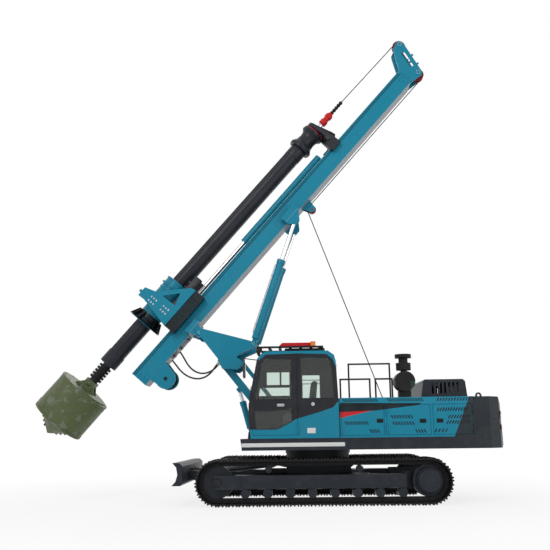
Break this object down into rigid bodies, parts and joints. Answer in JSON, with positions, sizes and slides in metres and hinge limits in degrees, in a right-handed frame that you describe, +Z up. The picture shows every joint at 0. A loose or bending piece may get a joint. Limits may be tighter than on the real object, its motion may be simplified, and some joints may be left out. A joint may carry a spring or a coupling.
{
  "type": "rotary piling rig",
  "caption": "Tracked rotary piling rig with a leaning mast, rotary drive, telescoping kelly bar and drilling bucket, cab, engine housings, blade and counterweight.",
  "frame": {"origin": "under the middle of the machine's overall box, on the ground", "axes": "+X towards the front, where the mast's foot and bucket are, +Y to the machine's left, the cab's side, +Z up"},
  "size_m": [9.586, 3.095, 10.34],
  "materials": {
    "chassis_paint": "satin dark grey enamel on welded steel",
    "body_paint": "semi-gloss blue-green enamel on sheet steel and welded plate",
    "track_steel": "forged track shoes and links, dull black",
    "machined_steel": "machined bearing steel",
    "chrome_rod": "hard-chromed piston rod",
    "cab_glazing": "tinted safety glass",
    "seat_plastic": "woven seat cloth over foam",
    "black_paint": "satin black powder coat",
    "red_paint": "red enamel",
    "amber_lens": "moulded amber lens",
    "black_plastic": "moulded black plastic",
    "engine_iron": "grey cast iron",
    "counterweight_iron": "cast counterweight, satin dark grey enamel",
    "kelly_paint": "satin charcoal enamel on heavy steel tube",
    "spring_steel": "black coated spring steel",
    "bucket_paint": "worn olive green enamel"
  },
  "bodies": {
    "undercarriage": {"car_body": "chassis_paint", "track_frames": "chassis_paint", "track_left": "track_steel", "track_right": "track_steel", "sprockets": "chassis_paint", "idlers": "chassis_paint", "rollers": "chassis_paint"},
    "blade": {"blade": "chassis_paint"},
    "blade_barrels": {"blade_cylinder_barrels": "chassis_paint"},
    "blade_rods": {"blade_cylinder_rods": "chrome_rod"},
    "house": {"deck_frame": "chassis_paint", "cab_shell": "body_paint", "cab_glass": "cab_glazing", "cab_interior": "seat_plastic", "roof_guard": "black_paint", "sun_visor": "red_paint", "beacon": "amber_lens", "mirror": "black_plastic", "housings": "body_paint", "engine_block": "engine_iron", "counterweight": "counterweight_iron", "air_cleaner": "black_paint", "handrails": "black_paint"},
    "cab_door": {"cab_door": "body_paint", "cab_door_glass": "cab_glazing"},
    "engine_hood": {"engine_hood": "chassis_paint"},
    "main_winch_drum": {"main_winch_drum": "body_paint"},
    "boom": {"boom": "body_paint"},
    "support_rods": {"support_rods": "body_paint"},
    "boom_barrels": {"boom_cylinder_barrels": "body_paint"},
    "boom_rods": {"boom_cylinder_rods": "chrome_rod"},
    "luffing_frame": {"luffing_frame": "body_paint"},
    "mast_barrels": {"mast_cylinder_barrels": "body_paint"},
    "mast_rods": {"mast_cylinder_rods": "chrome_rod"},
    "mast": {"mast": "body_paint", "mast_head": "body_paint", "crowd_barrel": "body_paint", "aux_winch_frame": "body_paint"},
    "front_sheave": {"head_sheave_front": "red_paint"},
    "rear_sheave": {"head_sheave_rear": "red_paint"},
    "rope_guide_pulley": {"rope_guide_pulley": "red_paint"},
    "aux_winch_drum": {"aux_winch_drum": "machined_steel"},
    "rotary_drive": {"rotary_drive": "body_paint", "drive_motors": "engine_iron", "crowd_rod": "chrome_rod"},
    "kelly_guide": {"kelly_guide": "kelly_paint"},
    "kelly_outer": {"kelly_outer": "kelly_paint"},
    "kelly_middle": {"kelly_middle": "kelly_paint"},
    "kelly_core": {"kelly_core": "kelly_paint", "kelly_spring": "spring_steel", "bucket": "bucket_paint"},
    "bucket_flap": {"bucket_bottom": "bucket_paint"},
    "service_door_left_1": {"service_door_left_1": "body_paint"},
    "service_door_left_2": {"service_door_left_2": "body_paint"},
    "service_door_left_3": {"service_door_left_3": "body_paint"},
    "service_door_right_1": {"service_door_right_1": "body_paint"},
    "service_door_right_2": {"service_door_right_2": "body_paint"}
  },
  "joints": [
    {"name": "slew", "type": "hinge", "parent": "undercarriage", "child": "house", "pos_m": [-1.16796, -0.0475, 0.98], "axis": [0, 0, 1], "continuous": true},
    {"name": "blade_lift", "type": "hinge", "parent": "undercarriage", "child": "blade", "pos_m": [-0.10796, -0.0475, 0.5], "axis": [0, -1, 0], "range_deg": [-14, 6]},
    {"name": "blade_cylinder_pivot", "type": "hinge", "parent": "undercarriage", "child": "blade_barrels", "pos_m": [-0.40796, -0.0475, 0.745], "axis": [0, -1, 0], "range_deg": [-20, 20]},
    {"name": "blade_rod_slide", "type": "slide", "parent": "blade_barrels", "child": "blade_rods", "axis": [0.9938, 0, -0.1108], "range_m": [-0.3, 0.3]},
    {"name": "boom_lift", "type": "hinge", "parent": "house", "child": "boom", "pos_m": [-0.31796, -0.0475, 1.43], "axis": [0, -1, 0], "range_deg": [-20, 0]},
    {"name": "support_rod_swing", "type": "hinge", "parent": "house", "child": "support_rods", "pos_m": [-0.70796, -0.0475, 1.45], "axis": [0, -1, 0], "range_deg": [-25, 5]},
    {"name": "luffing_frame_pivot", "type": "hinge", "parent": "boom", "child": "luffing_frame", "pos_m": [0.82209, -0.0475, 2.84997], "axis": [0, -1, 0], "range_deg": [-5, 25]},
    {"name": "boom_cylinder_pivot", "type": "hinge", "parent": "house", "child": "boom_barrels", "pos_m": [0.21204, -0.0475, 1.345], "axis": [0, -1, 0], "range_deg": [-60, 60]},
    {"name": "boom_rod_slide", "type": "slide", "parent": "boom_barrels", "child": "boom_rods", "axis": [0.2669, 0, 0.9637], "range_m": [-0.5, 0.5]},
    {"name": "mast_luff", "type": "hinge", "parent": "luffing_frame", "child": "mast", "pos_m": [1.29309, -0.0475, 3.43697], "axis": [0, 1, 0], "range_deg": [-43, 43]},
    {"name": "mast_cylinder_pivot", "type": "hinge", "parent": "luffing_frame", "child": "mast_barrels", "pos_m": [0.13409, -0.0475, 3.18997], "axis": [0, 1, 0], "range_deg": [-60, 60]},
    {"name": "mast_rod_slide", "type": "slide", "parent": "mast_barrels", "child": "mast_rods", "axis": [-0.3216, 0, 0.9469], "range_m": [-1, 1]},
    {"name": "crowd", "type": "slide", "parent": "mast", "child": "rotary_drive", "axis": [0.6567, 0, -0.7541], "range_m": [-0.65, 1.15]},
    {"name": "kelly_hoist", "type": "slide", "parent": "mast", "child": "kelly_guide", "axis": [0.6567, 0, -0.7541], "range_m": [-0.6, 3]},
    {"name": "kelly_spin", "type": "hinge", "parent": "kelly_guide", "child": "kelly_outer", "pos_m": [2.14527, -0.0475, 4.17906], "axis": [0.6567, 0, -0.7541], "continuous": true},
    {"name": "kelly_middle_slide", "type": "slide", "parent": "kelly_outer", "child": "kelly_middle", "axis": [0.6567, 0, -0.7541], "range_m": [0, 5.6]},
    {"name": "kelly_core_slide", "type": "slide", "parent": "kelly_middle", "child": "kelly_core", "axis": [0.6567, 0, -0.7541], "range_m": [0, 5.6]},
    {"name": "bucket_flap", "type": "hinge", "parent": "kelly_core", "child": "bucket_flap", "pos_m": [3.84669, -0.0475, 1.25831], "axis": [0, 1, 0], "range_deg": [0, 80]},
    {"name": "front_sheave_spin", "type": "hinge", "parent": "mast", "child": "front_sheave", "pos_m": [-3.30137, -0.0475, 10.19004], "axis": [0, 1, 0], "continuous": true},
    {"name": "rear_sheave_spin", "type": "hinge", "parent": "mast", "child": "rear_sheave", "pos_m": [-3.69161, -0.0475, 9.46566], "axis": [0, 1, 0], "continuous": true},
    {"name": "rope_guide_spin", "type": "hinge", "parent": "mast", "child": "rope_guide_pulley", "pos_m": [-1.17155, -0.0475, 6.23677], "axis": [0, 1, 0], "continuous": true},
    {"name": "aux_winch_spin", "type": "hinge", "parent": "mast", "child": "aux_winch_drum", "pos_m": [2.01523, -0.0475, 2.50112], "axis": [0, 1, 0], "continuous": true},
    {"name": "main_winch_spin", "type": "hinge", "parent": "house", "child": "main_winch_drum", "pos_m": [-2.45796, -0.0475, 1.64], "axis": [0, 1, 0], "continuous": true},
    {"name": "cab_door_hinge", "type": "hinge", "parent": "house", "child": "cab_door", "pos_m": [-0.76796, 1.4275, 1.6], "axis": [0, 0, 1], "range_deg": [0, 172]},
    {"name": "service_door_left_1_hinge", "type": "hinge", "parent": "house", "child": "service_door_left_1", "pos_m": [-1.59346, 1.4175, 1.6], "axis": [0, 0, 1], "range_deg": [-110, 0]},
    {"name": "service_door_left_2_hinge", "type": "hinge", "parent": "house", "child": "service_door_left_2", "pos_m": [-2.45846, 1.4175, 1.6], "axis": [0, 0, 1], "range_deg": [-110, 0]},
    {"name": "service_door_left_3_hinge", "type": "hinge", "parent": "house", "child": "service_door_left_3", "pos_m": [-4.10246, 1.4175, 1.6], "axis": [0, 0, -1], "range_deg": [-110, 0]},
    {"name": "service_door_right_1_hinge", "type": "hinge", "parent": "house", "child": "service_door_right_1", "pos_m": [-1.59346, -1.5125, 1.6], "axis": [0, 0, -1], "range_deg": [-110, 0]},
    {"name": "service_door_right_2_hinge", "type": "hinge", "parent": "house", "child": "service_door_right_2", "pos_m": [-2.45846, -1.5125, 1.6], "axis": [0, 0, -1], "range_deg": [-110, 0]},
    {"name": "engine_hood_hinge", "type": "hinge", "parent": "house", "child": "engine_hood", "pos_m": [-4.12296, -0.0475, 1.996], "axis": [0, 1, 0], "range_deg": [-60, 0]}
  ],
  "couplings": [
    {"joint": "blade_cylinder_pivot", "follows": "blade_lift", "ratio": 0.79958},
    {"joint": "blade_rod_slide", "follows": "blade_lift", "m_per_rad": -0.18798},
    {"joint": "support_rod_swing", "follows": "boom_lift", "ratio": 1},
    {"joint": "luffing_frame_pivot", "follows": "boom_lift", "ratio": -1},
    {"joint": "boom_cylinder_pivot", "follows": "boom_lift", "ratio": 1.1618},
    {"joint": "boom_rod_slide", "follows": "boom_lift", "m_per_rad": 0.51595},
    {"joint": "mast_cylinder_pivot", "follows": "mast_luff", "ratio": 1.0761},
    {"joint": "mast_rod_slide", "follows": "mast_luff", "m_per_rad": 1.0954}
  ]
}
